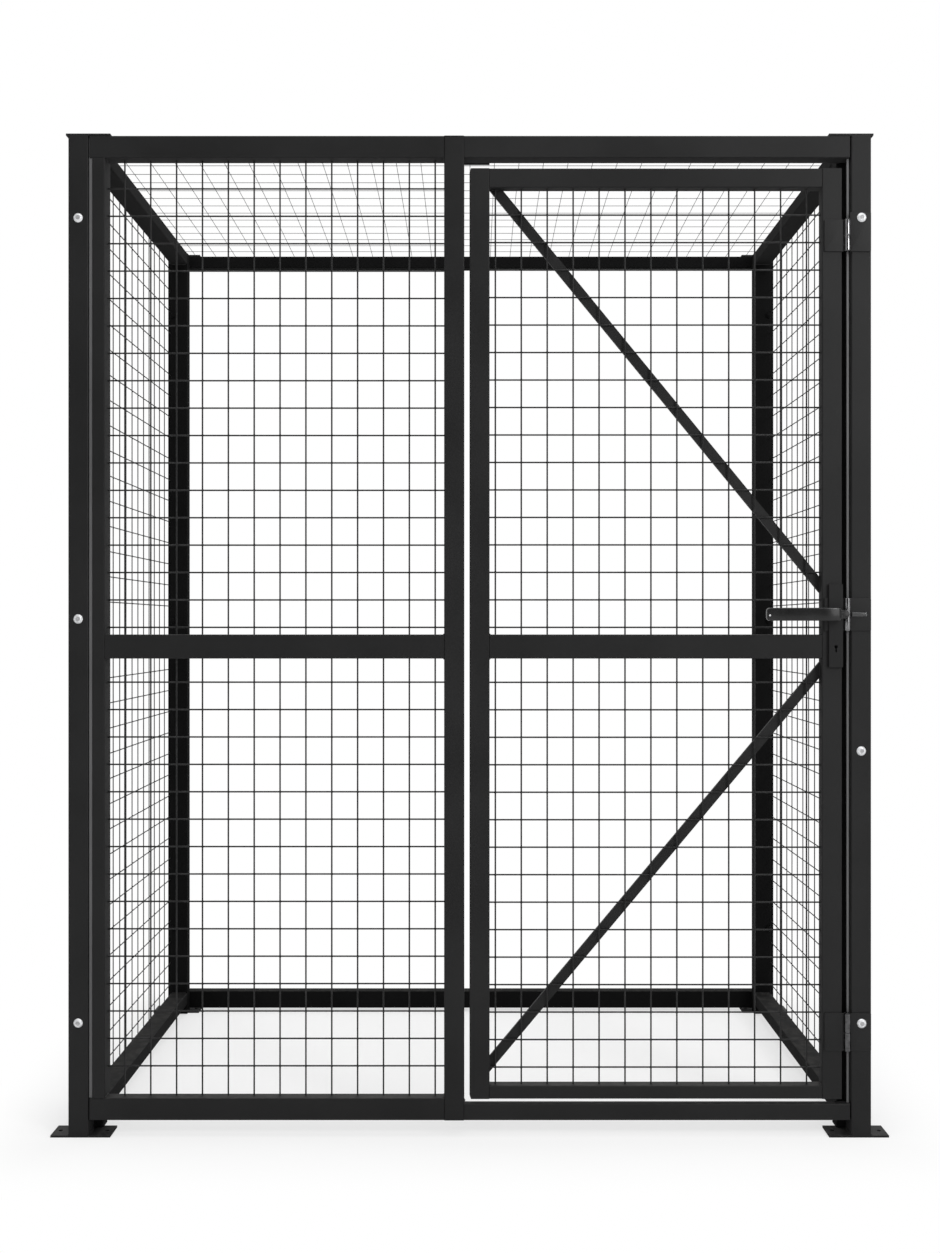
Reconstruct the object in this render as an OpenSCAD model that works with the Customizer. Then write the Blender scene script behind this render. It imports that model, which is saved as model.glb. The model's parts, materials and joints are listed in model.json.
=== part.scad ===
// Wire mesh partition with a hinged door: a free-standing cage, open at the back.
// Millimetres, +Z up. The front looks along -Y and the hinged side is at +X.
// The origin is on the floor, in the middle of the outline.

/* [Cage] */
// Width over the corner posts
cage_w = 1600; // [1500:10:1800]
// Height from the floor to the top of the caps
cage_h = 2000; // [1950:10:2200]
// Depth from the front of the front posts to the back of the rear posts
cage_d = 840; // [700:10:1000]
// Outer corner radius of every tube
tube_r = 2.5; // [1:0.5:3]
// Wall of every tube
tube_wall = 2; // [1.5:0.5:3]

/* [Posts, feet and caps] */
// Side of a square corner post
post_w = 40; // [36:1:50]
// Width of a foot plate
foot_w = 119; // [110:1:140]
// Depth of a foot plate
foot_d = 50; // [46:1:70]
// Thickness of a foot plate
foot_t = 4; // [3:0.5:8]
// How far a foot plate reaches past the outer side of its post
foot_out = 35.5; // [25:0.5:45]
// Diameter of an anchor hole
foot_hole_d = 8; // [6:0.5:11]
// Centre of an anchor hole from the end of its plate
foot_hole_in = 12.5; // [9:0.5:16]
// Thickness of a cap
cap_t = 4; // [3:0.5:6]
// How far a cap stands out past the outer side of its post
cap_out = 4.4; // [0:0.2:8]
// How far a cap reaches past the inner side of its post
cap_in = 44; // [30:1:60]

/* [Front frame] */
// Depth of the upright tubes of the front frame
front_d = 40; // [34:1:40]
// Height of the header
header_h = 44; // [30:1:60]
// Depth of the header
header_d = 32; // [26:1:34]
// Underside of the lowest front rails above the floor
front_rail_z = 34; // [20:1:60]
// Height of the fixed panel's bottom rail
bottom_rail_h = 44; // [30:1:60]
// Depth of the fixed panel's mid rail and bottom rail
fixed_rail_d = 27; // [26:1:34]
// Height of the threshold under the door
threshold_h = 33; // [20:1:45]
// Depth of the threshold
threshold_d = 16; // [12:1:22]
// Middle height of the mid rails
mid_rail_z = 978; // [900:1:1000]
// Height of the mid rails
mid_rail_h = 48; // [30:1:60]
// Width of the stile beside the left post
fixed_stile_w = 25; // [20:1:40]
// Gap between the left post and that stile
stile_gap = 8; // [4:0.5:12]
// Gap between a post and the end of a front rail
rail_gap = 2.5; // [1:0.5:6]
// Width of the mullion
mullion_w = 40; // [30:1:60]
// Right-hand side of the mullion
mullion_x = -11; // [-60:1:40]
// Width of the pad behind the header, beside the mullion
pad_w = 51; // [30:1:80]

/* [Side and rear frames] */
// Width of a side frame's tubes, across the cage
side_w = 44; // [36:1:48]
// Other side of those tubes
side_t = 30; // [25:1:40]
// How far a side frame lies inside the outer face of its post
side_inset = 14; // [12:0.5:15]
// Underside of a side frame's bottom rail above the floor
side_bottom_z = 28; // [10:1:60]
// Height of the rear top rail
rear_top_h = 30; // [25:1:50]
// Height of the rear bottom rail
rear_bottom_h = 44; // [25:1:60]
// Underside of the rear bottom rail above the floor
rear_bottom_z = 10; // [6:1:40]
// Depth of the rear rails
rear_t = 30; // [25:1:36]

/* [Wire mesh] */
// Diameter of a wire
wire_d = 2.1; // [1.8:0.1:3]
// Spacing of the upright wires in front, and of those that run back in the roof
mesh_x = 51.9; // [45:0.1:60]
// Spacing of the level wires
mesh_z = 55.05; // [50:0.05:60]
// Spacing along the depth, in the sides and the roof
mesh_y = 50; // [45:1:60]
// Height of the lowest level wire in front
mesh_z0 = 135.5; // [130:0.5:150]
// First upright wire from the fixed panel's stile
fixed_mesh_x0 = 34.9; // [8:0.1:40]
// First upright wire from the door's free stile
door_mesh_x0 = 11.7; // [8:0.1:40]
// Depth of the fixed panel's wire plane behind the front
fixed_mesh_d = 20; // [10:0.5:25]
// Depth of the door's wire plane behind the front
door_mesh_d = 13; // [8:0.5:14]

/* [Door] */
// Gap between the mullion and the door
door_gap_free = 10.6; // [6:0.1:16]
// Gap between the door and the hinged post
door_gap_hinge = 18.2; // [17:0.1:22]
// Gap between the header and the door
door_gap_top = 21; // [12:0.5:30]
// Gap between the threshold and the door
door_gap_bottom = 9.7; // [5:0.1:16]
// Depth of the door's tubes
door_d = 25; // [24:0.5:30]
// Width of the door's stiles
door_stile_w = 40; // [38:1:50]
// Height of the door's top rail
door_top_h = 38; // [30:1:50]
// Height of the door's bottom rail
door_bottom_h = 26.3; // [20:0.1:40]
// Width of a brace
brace_w = 20; // [14:1:28]
// Thickness of a brace
brace_t = 8; // [5:0.5:8]
// Upper brace: its line over the top corner of the upper window
brace_over = 16.6; // [0:0.1:20]
// Upper brace: its lower end above the mid rail
brace_up_end = 99.4; // [40:0.1:140]
// Lower brace: its lower end above the bottom rail
brace_low_end = 37.2; // [20:0.1:80]
// Lower brace: its upper end below the mid rail
brace_under = 22.8; // [15:0.1:60]
// Height of the cut at the free corners of the door
corner_cut_h = 8; // [4:0.5:12]
// Width of that cut
corner_cut_w = 3; // [1:0.5:4]

/* [Hinges] */
// Height of the lowest hinge's barrel
hinge_low_h = 75; // [60:1:80]
// Height of the middle hinge's barrel
hinge_mid_h = 65; // [56:1:80]
// Height of the top hinge's barrel
hinge_top_h = 63; // [56:1:80]
// Outer diameter of a hinge barrel
knuckle_d = 12; // [11:0.5:14]
// Diameter of a hinge pin
pin_d = 6; // [4:0.5:7]
// Radial clearance round a hinge pin
pin_fit = 0.05; // [0.03:0.01:0.09]
// Gap between two knuckles
knuckle_gap = 0.4; // [0.3:0.1:0.8]
// Thickness of a hinge leaf
leaf_t = 2.5; // [2:0.1:3]
// Hinge axis in front of the front face
axis_out = 3.5; // [3:0.1:4.5]
// Reach of a door leaf from the axis
door_leaf_w = 45; // [38:0.5:48]
// Reach of a post leaf from the axis
post_leaf_w = 48; // [42:0.5:48]
// How far the top post leaf reaches above its barrel, to take the post bolt
leaf_ear = 15; // [12:0.5:20]
// Middle of the lowest hinge
hinge_low_z = 211; // [205:1:215]
// Middle of the middle hinge
hinge_mid_z = 1042; // [1036:1:1048]
// Middle of the top hinge below the top bolts
hinge_top_drop = 36; // [30:1:38]
// Knuckles in one hinge, from the post's lowest one
knuckles = 2; // [2:1:5]

/* [Post bolts] */
// Diameter of a bolt shank
bolt_d = 8; // [6:0.5:8]
// Diameter of a domed bolt head
head_d = 19.5; // [16:0.5:22]
// Height of a domed bolt head
head_h = 5.5; // [4:0.5:8]
// Radial clearance round a shank
bolt_fit = 0.3; // [0.1:0.05:0.35]
// Bolt axis from the outer face of its post
bolt_in = 20.5; // [20:0.5:22]
// Height of the lowest bolts
bolt_low_z = 228; // [222:1:232]
// Height of the middle bolts
bolt_mid_z = 1033; // [800:1:1200]
// Height of the middle bolt in the hinged post
bolt_hinged_z = 770; // [500:1:900]
// Height of the top bolts below the top of the caps
bolt_top_drop = 168; // [150:1:260]
// Width of a nut across its flats
nut_af = 13; // [10:0.5:13]
// Thickness of a nut
nut_h = 6.5; // [5:0.5:8]

/* [Lock and lever] */
// Height of the spindle
spindle_z = 1042; // [1038:1:1046]
// Width of the lock plate
plate_w = 27.5; // [26:0.5:30]
// Lock plate above the spindle
plate_up = 60; // [50:1:70]
// Lock plate below the spindle
plate_down = 105; // [95:1:115]
// Thickness of the lock plate
plate_t = 6; // [5:0.5:8]
// Keyhole below the spindle
key_drop = 64; // [58:0.5:76]
// Diameter of the round part of the keyhole
key_d = 7; // [5:0.5:9]
// Width of the slot under it
key_slot_w = 2.8; // [2:0.1:4]
// Length of that slot from the keyhole's middle
key_slot_l = 11; // [8:0.5:16]
// Diameter of the rose round the spindle
rose_d = 24; // [20:0.5:26]
// Height of the rose on the plate
rose_h = 4; // [2:0.5:8]
// Diameter of the spindle
spindle_d = 9; // [7:0.5:10]
// Radial clearance round the spindle
spindle_fit = 0.08; // [0.05:0.01:0.1]
// Front of the lever in front of the front face
lever_out = 45; // [40:1:60]
// Thickness of the lever's bar
lever_t = 12; // [10:0.5:14]
// Lever from the spindle to the end of the grip
lever_l = 146; // [120:1:160]
// Height of the lever's bar
lever_h = 25.5; // [20:0.5:28]
// Corner radius at the end of the grip
grip_r = 7; // [3:0.5:9]
// Point of the bar past the spindle
nose_l = 5; // [2:0.5:10]
// Height of the neck behind the bar
neck_h = 17; // [14:0.5:20]
// End of the neck past the spindle
neck_l = 18; // [12:0.5:19]
// Width of the keeper on the hinged post
keeper_w = 30; // [20:1:34]
// Height of that keeper
keeper_h = 10.5; // [8:0.5:14]
// Thickness of that keeper
keeper_t = 4; // [2:0.5:4]
// Height of the lock case
case_h = 150; // [130:1:156]
// Width of the lock case
case_w = 26; // [22:1:28]
// Depth of the lock case
case_d = 17; // [14:0.5:18]

/* [Hidden] */
$fn = 32;

eps = 1;            // how far a cut runs past the face it opens
seat = 0.1;         // gap left under a wire or at a brace's end for its weld
layer_gap = 0.05;   // gap between the two layers of crossing wires
wire_margin = 5;    // least space between a frame and the first wire beside it
mesh_edge = 2;      // edge of an outer mesh sheet from the posts and the tube ends
roof_edge = 12;     // ends of the roof wires from the outer faces of the front and rear rails
shaft_gap = 1;      // gap between the lever's neck and its rose
leaf_gap = 0.6;     // gap between a barrel and the edge of the other leaf
body_gap = 0.3;     // gap between the lock plate and the hinge leaf that it bridges
thread_out = 2;     // end of a bolt past its nut
pin_head = 2;       // height of a hinge pin's head
pin_head_d = 10;    // its diameter
case_in = 2;        // gap between the lock case and the tube's far wall
case_above = 48;    // top of the lock case above the spindle

frame_black = [0.12, 0.12, 0.125];
wire_black = [0.10, 0.10, 0.10];
zinc = [0.72, 0.73, 0.74];
handle_black = [0.16, 0.16, 0.165];

// Depths are counted from the front plane. This places that plane in Y.
front_y = -(cage_d + head_h - lever_out) / 2;
mid_y = front_y + cage_d / 2;
frame_top = cage_h - cap_t;
post_out = cage_w / 2;
post_in = post_out - post_w;
rear_d = cage_d - post_w;
bolt_x = post_out - bolt_in;

header_z = frame_top - header_h;
mid_low = mid_rail_z - mid_rail_h / 2;
mid_high = mid_rail_z + mid_rail_h / 2;
rail_end = post_in - rail_gap;
fixed_stile_x = -(post_in - stile_gap);
fixed_win_l = fixed_stile_x + fixed_stile_w;
mullion_l = mullion_x - mullion_w;
bottom_rail_top = front_rail_z + bottom_rail_h;
threshold_top = front_rail_z + threshold_h;

side_out = post_out - side_inset;
side_in = side_out - side_w;
side_rail_l = rear_d - post_w - 2 * side_t;

door_l = mullion_x + door_gap_free;
door_r = post_in - door_gap_hinge;
door_low = threshold_top + door_gap_bottom;
door_top = header_z - door_gap_top;
door_win_l = door_l + door_stile_w;
door_win_r = door_r - door_stile_w;
door_win_top = door_top - door_top_h;
door_win_low = door_low + door_bottom_h;

bolt_top_z = cage_h - bolt_top_drop;
bolts_plain = [bolt_low_z, bolt_mid_z, bolt_top_z];
bolts_hinged = [bolt_low_z, bolt_hinged_z, bolt_top_z];
bolt_hole_r = bolt_d / 2 + bolt_fit;

axis_x = (door_r + post_in) / 2;
hinges = [
    [hinge_low_z, hinge_low_h], [hinge_mid_z, hinge_mid_h],
    [bolt_top_z - hinge_top_drop, hinge_top_h]
];

spindle_x = door_r - plate_w / 2;
spindle_hole_r = spindle_d / 2 + spindle_fit;
wall_hole_r = spindle_d / 2 + 3;
neck_r = wall_hole_r;
key_hole_r = key_d / 2 + eps;
case_x = door_r - tube_wall - case_in - case_w;
case_z = spindle_z + case_above - case_h;

// Places a piece at x, at depth d behind the front plane and at height z
module at(x, d, z) {
    translate([x, front_y + d, z]) children();
}

// Mirrors a piece of the right-hand front corner to another corner
module corner(left, rear) {
    if (rear)
        translate([0, 2 * mid_y, 0]) mirror([0, 1, 0]) corner(left, false) children();
    else if (left)
        mirror([1, 0, 0]) children();
    else
        children();
}

// Rectangle with round corners
module round_rect(w, d, r) {
    translate([r, 0]) square([w - 2 * r, d]);
    translate([0, r]) square([w, d - 2 * r]);
    for (x = [r, w - r], y = [r, d - r])
        translate([x, y]) circle(r = r);
}

// Rectangular tube standing up, from its own corner
module tube_z(w, d, l) {
    linear_extrude(l) difference() {
        round_rect(w, d, tube_r);
        translate([tube_wall, tube_wall]) square([w - 2 * tube_wall, d - 2 * tube_wall]);
    }
}

// The same tube along X: l long, d deep and h high
module tube_x(l, d, h) {
    rotate([90, 0, 90]) tube_z(d, h, l);
}

// The same tube along Y: w wide, l long and h high
module tube_y(w, l, h) {
    rotate([-90, 0, 0]) rotate([0, 0, -90]) tube_z(h, w, l);
}

// Round bar or hole through a front face, from depth d1 back to depth d2
module bore_y(x, z, r, d1, d2) {
    at(x, d1, z) rotate([-90, 0, 0]) cylinder(r = r, h = d2 - d1);
}

// Heights of the level wires between two rails
function rows(low, high) = [
    for (i = [ceil((low + wire_margin - mesh_z0) / mesh_z)
              : floor((high - wire_margin - mesh_z0) / mesh_z)])
        mesh_z0 + i * mesh_z
];

// Places of wires from a first one up to a limit
function columns(first, limit, pitch) = [for (x = [first : pitch : limit - wire_margin]) x];

// Places of wires on both sides of a middle, within a half width
function centred(half, pitch) = [
    for (i = [-floor((half - wire_margin) / pitch) : floor((half - wire_margin) / pitch)])
        i * pitch
];

// Wires between two ends along X, Y or Z. Each is a prism with eight sides.
module wire_x(x1, x2) {
    translate([x1, 0, 0]) rotate([0, 90, 0]) cylinder(d = wire_d, h = x2 - x1, $fn = 8);
}
module wire_y(y1, y2) {
    translate([0, y1, 0]) rotate([-90, 0, 0]) cylinder(d = wire_d, h = y2 - y1, $fn = 8);
}
module wire_z(z1, z2) {
    translate([0, 0, z1]) cylinder(d = wire_d, h = z2 - z1, $fn = 8);
}

// Sheet that fills one window of a front frame: uprights in front of level wires
module window_mesh(x1, x2, z1, z2, xs, depth) {
    layer = (wire_d + layer_gap) / 2;
    color(wire_black) {
        for (x = xs)
            at(x, depth - layer, 0) wire_z(z1 + seat, z2 - seat);
        for (z = rows(z1, z2))
            at(0, depth + layer, z) wire_x(x1 + seat, x2 - seat);
    }
}

// Corner post with its bolt holes
module post(left, rear, bolt_zs) {
    color(frame_black) corner(left, rear) difference() {
        at(post_in, 0, foot_t) tube_z(post_w, post_w, frame_top - foot_t);
        for (z = bolt_zs)
            bore_y(bolt_x, z, bolt_hole_r, -eps, post_w + eps);
    }
}

// Foot plate with an anchor hole near each end
module foot(left, rear) {
    foot_x = post_out + foot_out - foot_w;
    color(frame_black) corner(left, rear) difference() {
        at(foot_x, 0, 0) cube([foot_w, foot_d, foot_t]);
        for (x = [foot_x + foot_hole_in, foot_x + foot_w - foot_hole_in])
            at(x, foot_d / 2, -eps) cylinder(d = foot_hole_d, h = foot_t + 2 * eps);
    }
}

// Flat cap that ties a post to the frame beside it
module cap(left, rear) {
    color(frame_black) corner(left, rear)
        at(post_in - cap_in, 0, frame_top) cube([cap_in + post_w + cap_out, post_w, cap_t]);
}

// Front frame
module header_left() {
    color(frame_black)
        at(-rail_end, 0, header_z) tube_x(mullion_l + rail_end, header_d, header_h);
}
module header_right() {
    color(frame_black)
        at(mullion_x, 0, header_z) tube_x(rail_end - mullion_x, header_d, header_h);
}
module mullion() {
    color(frame_black)
        at(mullion_l, 0, front_rail_z) tube_z(mullion_w, front_d, frame_top - front_rail_z);
}
module fixed_stile() {
    color(frame_black) at(fixed_stile_x, 0, bottom_rail_top)
        tube_z(fixed_stile_w, front_d, header_z - bottom_rail_top);
}
module fixed_mid_rail() {
    color(frame_black)
        at(fixed_win_l, 0, mid_low)
            tube_x(mullion_l - fixed_win_l, fixed_rail_d, mid_rail_h);
}
module fixed_bottom_rail() {
    color(frame_black)
        at(-rail_end, 0, front_rail_z)
            tube_x(mullion_l + rail_end, fixed_rail_d, bottom_rail_h);
}
// The threshold's lug reaches back to the side frame, which carries its right-hand end
module threshold() {
    lug_h = threshold_h / 2;
    color(frame_black) {
        at(mullion_x, 0, front_rail_z)
            tube_x(rail_end - mullion_x, threshold_d, threshold_h);
        at(side_in, threshold_d - tube_wall / 2, front_rail_z + tube_r)
            cube([rail_end - side_in, post_w - threshold_d + tube_wall / 2, lug_h]);
    }
}
module fixed_mesh(z1, z2) {
    xs = columns(fixed_win_l + fixed_mesh_x0, mullion_l, mesh_x);
    window_mesh(fixed_win_l, mullion_l, z1, z2, xs, fixed_mesh_d);
}

// Side frames: each is drawn on the right and mirrored to the left
module side_stile(left, rear, bolt_zs) {
    color(frame_black) corner(left, rear) difference() {
        at(side_in, post_w, foot_t) tube_z(side_w, side_t, frame_top - foot_t);
        for (z = bolt_zs)
            bore_y(bolt_x, z, bolt_hole_r, post_w - eps, post_w + side_t + eps);
    }
}
module side_rail(left, z) {
    color(frame_black) corner(left, false)
        at(side_in, post_w + side_t, z) tube_y(side_w, side_rail_l, side_t);
}
module side_mesh(left) {
    inner = side_out + seat + wire_d / 2;
    outer = inner + wire_d + layer_gap;
    z1 = side_bottom_z + mesh_edge;
    z2 = frame_top - mesh_edge;
    color(wire_black) corner(left, false) {
        for (z = rows(z1, z2))
            at(inner, 0, z) wire_y(post_w + mesh_edge, rear_d - mesh_edge);
        for (y = centred(side_rail_l / 2, mesh_y))
            at(outer, cage_d / 2 + y, 0) wire_z(z1, z2);
    }
}

// Rear rails between the rear posts
module rear_rail(z, h) {
    color(frame_black) at(-post_in, rear_d, z) tube_x(2 * post_in, rear_t, h);
}

// Roof sheet on top of the frames. The wires beside a cap stop short of it.
module roof_mesh() {
    lower = frame_top + seat + wire_d / 2;
    upper = lower + wire_d + layer_gap;
    cap_edge = post_in - cap_in - mesh_edge;
    color(wire_black) {
        for (x = centred(side_out, mesh_x)) {
            inset = abs(x) > cap_edge ? post_w + mesh_edge : roof_edge;
            at(x, 0, lower) wire_y(inset, cage_d - inset);
        }
        for (y = centred(cage_d / 2 - post_w, mesh_y))
            at(0, cage_d / 2 + y, upper) wire_x(-side_out, side_out);
    }
}

// Bolt with a domed head, its seat at the origin and the head towards +Z
module dome_bolt(l) {
    r = head_d / 2;
    dome_r = (r * r + head_h * head_h) / (2 * head_h);
    rotate_extrude() intersection() {
        translate([0, head_h - dome_r]) circle(r = dome_r, $fn = 64);
        square([head_d, head_h]);
    }
    translate([0, 0, -l]) cylinder(d = bolt_d, h = l);
}

// A copy of a piece at every bolt's axis, on the front face of its post
module each_bolt() {
    for (z = bolts_plain) {
        corner(true, false) at(bolt_x, 0, z) children();
        corner(true, true) at(bolt_x, 0, z) children();
        corner(false, true) at(bolt_x, 0, z) children();
    }
    for (z = bolts_hinged)
        corner(false, false) at(bolt_x, 0, z) children();
}
module post_bolts() {
    grip = post_w + side_t + nut_h + thread_out;
    color(zinc) {
        for (z = bolts_plain, c = [[true, false], [true, true], [false, true]])
            corner(c[0], c[1]) at(bolt_x, 0, z) rotate([90, 0, 0]) dome_bolt(grip);
        for (z = bolts_hinged)
            at(bolt_x, z == bolt_hinged_z ? 0 : -leaf_t, z)
                rotate([90, 0, 0]) dome_bolt(grip + leaf_t);
    }
}
module post_nuts() {
    color(zinc) each_bolt() translate([0, post_w + side_t, 0]) rotate([-90, 0, 0]) difference() {
        rotate([0, 0, 30]) cylinder(d = nut_af / cos(30), h = nut_h, $fn = 6);
        translate([0, 0, -eps]) cylinder(r = bolt_hole_r, h = nut_h + 2 * eps);
    }
}

// One knuckle of a hinge with the tab that joins it to its leaf, towards +X or -X
module knuckle(hinge, i, way) {
    pitch = hinge[1] / knuckles;
    z = hinge[0] - hinge[1] / 2 + i * pitch + knuckle_gap / 2;
    h = pitch - knuckle_gap;
    tab = knuckle_d / 2 + leaf_gap + eps;
    at(axis_x, -axis_out, z) cylinder(d = knuckle_d, h = h);
    at(way > 0 ? axis_x : axis_x - tab, -leaf_t, z) cube([tab, leaf_t, h]);
}
module pin_bore(hinge) {
    at(axis_x, -axis_out, hinge[0] - hinge[1])
        cylinder(r = pin_d / 2 + pin_fit, h = 2 * hinge[1]);
}
module hinge_post_leaves() {
    start = knuckle_d / 2 + leaf_gap;
    color(frame_black) for (hinge = hinges) difference() {
        union() {
            at(axis_x + start, -leaf_t, hinge[0] - hinge[1] / 2)
                cube([post_leaf_w - start, leaf_t,
                      hinge[1] + (hinge[0] > mid_rail_z + hinge_mid_h ? leaf_ear : 0)]);
            for (i = [0 : 2 : knuckles - 1])
                knuckle(hinge, i, 1);
        }
        pin_bore(hinge);
        for (z = [bolt_low_z, bolt_top_z])
            if (abs(z - hinge[0]) < hinge[1])
                bore_y(bolt_x, z, bolt_hole_r, -leaf_t - eps, eps);
    }
}
module hinge_door_leaves() {
    start = knuckle_d / 2 + leaf_gap;
    color(frame_black) for (hinge = hinges) difference() {
        union() {
            at(axis_x - door_leaf_w, -leaf_t, hinge[0] - hinge[1] / 2)
                cube([door_leaf_w - start, leaf_t, hinge[1]]);
            for (i = [1 : 2 : knuckles - 1])
                knuckle(hinge, i, -1);
        }
        pin_bore(hinge);
        if (hinge[0] == hinge_mid_z)
            bore_y(spindle_x, spindle_z, wall_hole_r, -leaf_t - eps, eps);
    }
}
module hinge_pins() {
    color(zinc) for (hinge = hinges) {
        at(axis_x, -axis_out, hinge[0] - hinge[1] / 2) cylinder(d = pin_d, h = hinge[1]);
        at(axis_x, -axis_out, hinge[0] + hinge[1] / 2) cylinder(d = pin_head_d, h = pin_head);
    }
}

// Low keeper with a round end on the middle post leaf, level with the lever
module keeper() {
    end_r = keeper_h / 2;
    color(handle_black)
        at(post_in, -leaf_t, spindle_z) rotate([90, 0, 0]) linear_extrude(keeper_t) {
            translate([0, -end_r]) square([keeper_w - end_r, keeper_h]);
            translate([keeper_w - end_r, 0]) circle(r = end_r);
        }
}

// Pad behind the header, welded to the mullion's side
module head_pad() {
    color(frame_black)
        at(mullion_x, header_d, header_z) cube([pad_w, front_d - header_d, header_h]);
}

// Door frame
module door_free_stile() {
    h = door_top - door_low;
    color(frame_black) difference() {
        at(door_l, 0, door_low) tube_z(door_stile_w, door_d, h);
        for (z = [0, h])
            at(door_l, -eps, door_low + z)
                rotate([-90, 0, 0]) linear_extrude(door_d + 2 * eps) polygon([
                    [-corner_cut_w, 0], [0, corner_cut_h], [corner_cut_w, 0], [0, -corner_cut_h]
                ]);
    }
}
module door_hinge_stile() {
    color(frame_black) difference() {
        at(door_win_r, 0, door_low) tube_z(door_stile_w, door_d, door_top - door_low);
        bore_y(spindle_x, spindle_z, wall_hole_r, -eps, tube_wall + eps);
        bore_y(spindle_x, spindle_z - key_drop, key_hole_r, -eps, tube_wall + eps);
    }
}
module door_rail(z, h) {
    color(frame_black) at(door_win_l, 0, z) tube_x(door_win_r - door_win_l, door_d, h);
}

// Flat brace between two heights on the door's stiles, cut to its window
module brace(left_z, right_z, z1, z2) {
    run = door_win_r - door_win_l;
    slope = atan2(right_z - left_z, run);
    length = run / cos(slope) + 4 * brace_w;
    color(frame_black) intersection() {
        at(door_win_l, door_d - brace_t, left_z) rotate([0, -slope, 0])
            translate([-2 * brace_w, 0, -brace_w / 2]) cube([length, brace_t, brace_w]);
        at(door_win_l + seat, 0, z1 + seat)
            cube([run - 2 * seat, door_d + eps, z2 - z1 - 2 * seat]);
    }
}
module door_brace_upper() {
    brace(door_win_top + brace_over, mid_high + brace_up_end, mid_high, door_win_top);
}
module door_brace_lower() {
    brace(door_win_low + brace_low_end, mid_low - brace_under, door_win_low, mid_low);
}
module door_mesh(z1, z2) {
    xs = columns(door_win_l + door_mesh_x0, door_win_r, mesh_x);
    window_mesh(door_win_l, door_win_r, z1, z2, xs, door_mesh_d);
}

// Lock plate with its rose and keyhole. Its back is relieved where it bridges the hinge leaf.
module lock_plate() {
    relief = leaf_t + body_gap;
    color(handle_black) difference() {
        union() {
            at(door_r - plate_w, -plate_t, spindle_z - plate_down)
                cube([plate_w, plate_t, plate_up + plate_down]);
            bore_y(spindle_x, spindle_z, rose_d / 2, -plate_t - rose_h, -plate_t);
        }
        at(door_r - plate_w - eps, -relief, hinge_mid_z - hinge_mid_h / 2 - eps)
            cube([plate_w + 2 * eps, relief + eps, hinge_mid_h + 2 * eps]);
        bore_y(spindle_x, spindle_z, spindle_hole_r, -plate_t - rose_h - eps, eps);
        bore_y(spindle_x, spindle_z - key_drop, key_d / 2, -plate_t - eps, eps);
        at(spindle_x - key_slot_w / 2, -plate_t - eps, spindle_z - key_drop - key_slot_l)
            cube([key_slot_w, plate_t + 2 * eps, key_slot_l]);
    }
}

// Lock case inside the hinge stile, with a bearing for the spindle
module lock_case() {
    color(zinc) difference() {
        at(case_x, tube_wall, case_z) cube([case_w, case_d, case_h]);
        bore_y(spindle_x, spindle_z, spindle_hole_r, 0, tube_wall + case_d + eps);
        bore_y(spindle_x, spindle_z - key_drop, key_hole_r, 0, tube_wall + case_d / 2);
    }
}

// Outline of the lever's bar from the front, its spindle at the origin and the grip at -X
module bar_outline() {
    half = lever_h / 2;
    end = grip_r - lever_l;
    for (z = [grip_r - half, half - grip_r])
        translate([end, z]) circle(r = grip_r);
    translate([-lever_l, grip_r - half]) square([grip_r, lever_h - 2 * grip_r]);
    polygon([
        [end, -half], [nose_l - half / 2, -half], [nose_l, -half / 4],
        [nose_l, half / 4], [nose_l - half / 2, half], [end, half]
    ]);
}

// Outline of the oblong neck behind the bar
module neck_outline() {
    end_r = neck_h / 2;
    for (x = [end_r - neck_l, neck_l - end_r])
        translate([x, 0]) circle(r = end_r);
    translate([end_r - neck_l, -end_r]) square([2 * (neck_l - end_r), neck_h]);
}
module lever_handle() {
    bar_back = lever_t - lever_out;
    neck_back = -plate_t - rose_h - shaft_gap;
    color(handle_black) difference() {
        union() {
            at(spindle_x, bar_back, spindle_z)
                rotate([90, 0, 0]) linear_extrude(lever_t) bar_outline();
            at(spindle_x, neck_back, spindle_z)
                rotate([90, 0, 0]) linear_extrude(neck_back - bar_back) neck_outline();
            bore_y(spindle_x, spindle_z, neck_r, neck_back - eps, shaft_gap / 2 + neck_back);
        }
        bore_y(spindle_x, spindle_z, spindle_hole_r, bar_back, 0);
    }
}
module lever_spindle() {
    color(zinc)
        bore_y(spindle_x, spindle_z, spindle_d / 2, lever_t - lever_out, tube_wall + case_d);
}

post(true, false, bolts_plain);  // post_front_left
post(false, false, bolts_hinged);  // post_front_right
post(true, true, bolts_plain);  // post_rear_left
post(false, true, bolts_plain);  // post_rear_right
foot(true, false);  // foot_front_left
foot(false, false);  // foot_front_right
foot(true, true);  // foot_rear_left
foot(false, true);  // foot_rear_right
cap(true, false);  // cap_front_left
cap(false, false);  // cap_front_right
cap(true, true);  // cap_rear_left
cap(false, true);  // cap_rear_right
header_left();
header_right();
mullion();
fixed_stile();
fixed_mid_rail();
fixed_bottom_rail();
threshold();
fixed_mesh(mid_high, header_z);  // fixed_mesh_upper
fixed_mesh(bottom_rail_top, mid_low);  // fixed_mesh_lower
side_stile(true, false, bolts_plain);  // side_left_front_stile
side_stile(true, true, bolts_plain);  // side_left_rear_stile
side_rail(true, frame_top - side_t);  // side_left_top_rail
side_rail(true, side_bottom_z);  // side_left_bottom_rail
side_mesh(true);  // side_left_mesh
side_stile(false, false, bolts_hinged);  // side_right_front_stile
side_stile(false, true, bolts_plain);  // side_right_rear_stile
side_rail(false, frame_top - side_t);  // side_right_top_rail
side_rail(false, side_bottom_z);  // side_right_bottom_rail
side_mesh(false);  // side_right_mesh
rear_rail(frame_top - rear_top_h, rear_top_h);  // rear_top_rail
rear_rail(rear_bottom_z, rear_bottom_h);  // rear_bottom_rail
roof_mesh();
post_bolts();
post_nuts();
hinge_post_leaves();
hinge_pins();
keeper();
head_pad();
door_free_stile();
door_hinge_stile();
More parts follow.
